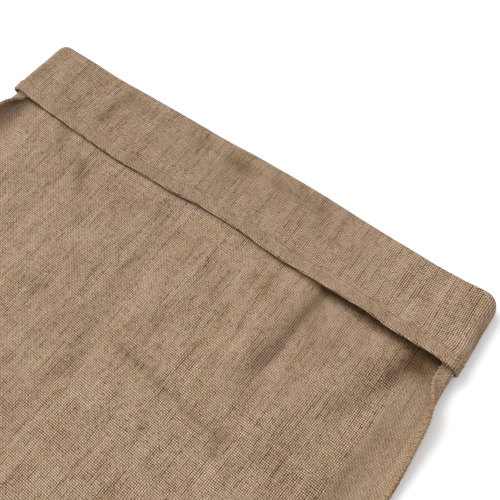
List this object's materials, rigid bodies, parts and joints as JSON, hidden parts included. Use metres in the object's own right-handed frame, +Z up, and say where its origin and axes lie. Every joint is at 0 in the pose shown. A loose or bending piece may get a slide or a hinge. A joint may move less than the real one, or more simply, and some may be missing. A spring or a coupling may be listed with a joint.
{
  "type": "jute sack",
  "caption": "Empty woven jute sack lying flat, sewn at both sides and the bottom, its mouth turned down outwards as a hemmed cuff.",
  "frame": {"origin": "on the floor under the centre of the lying sack's outline", "axes": "+X across the sack, +Y along it towards the mouth, +Z up from the floor"},
  "size_m": [0.5983, 0.9568, 0.0216],
  "materials": {
    "jute": "matt undyed woven jute"
  },
  "bodies": {
    "root": {"front_panel": "jute", "back_panel": "jute"}
  },
  "joints": []
}
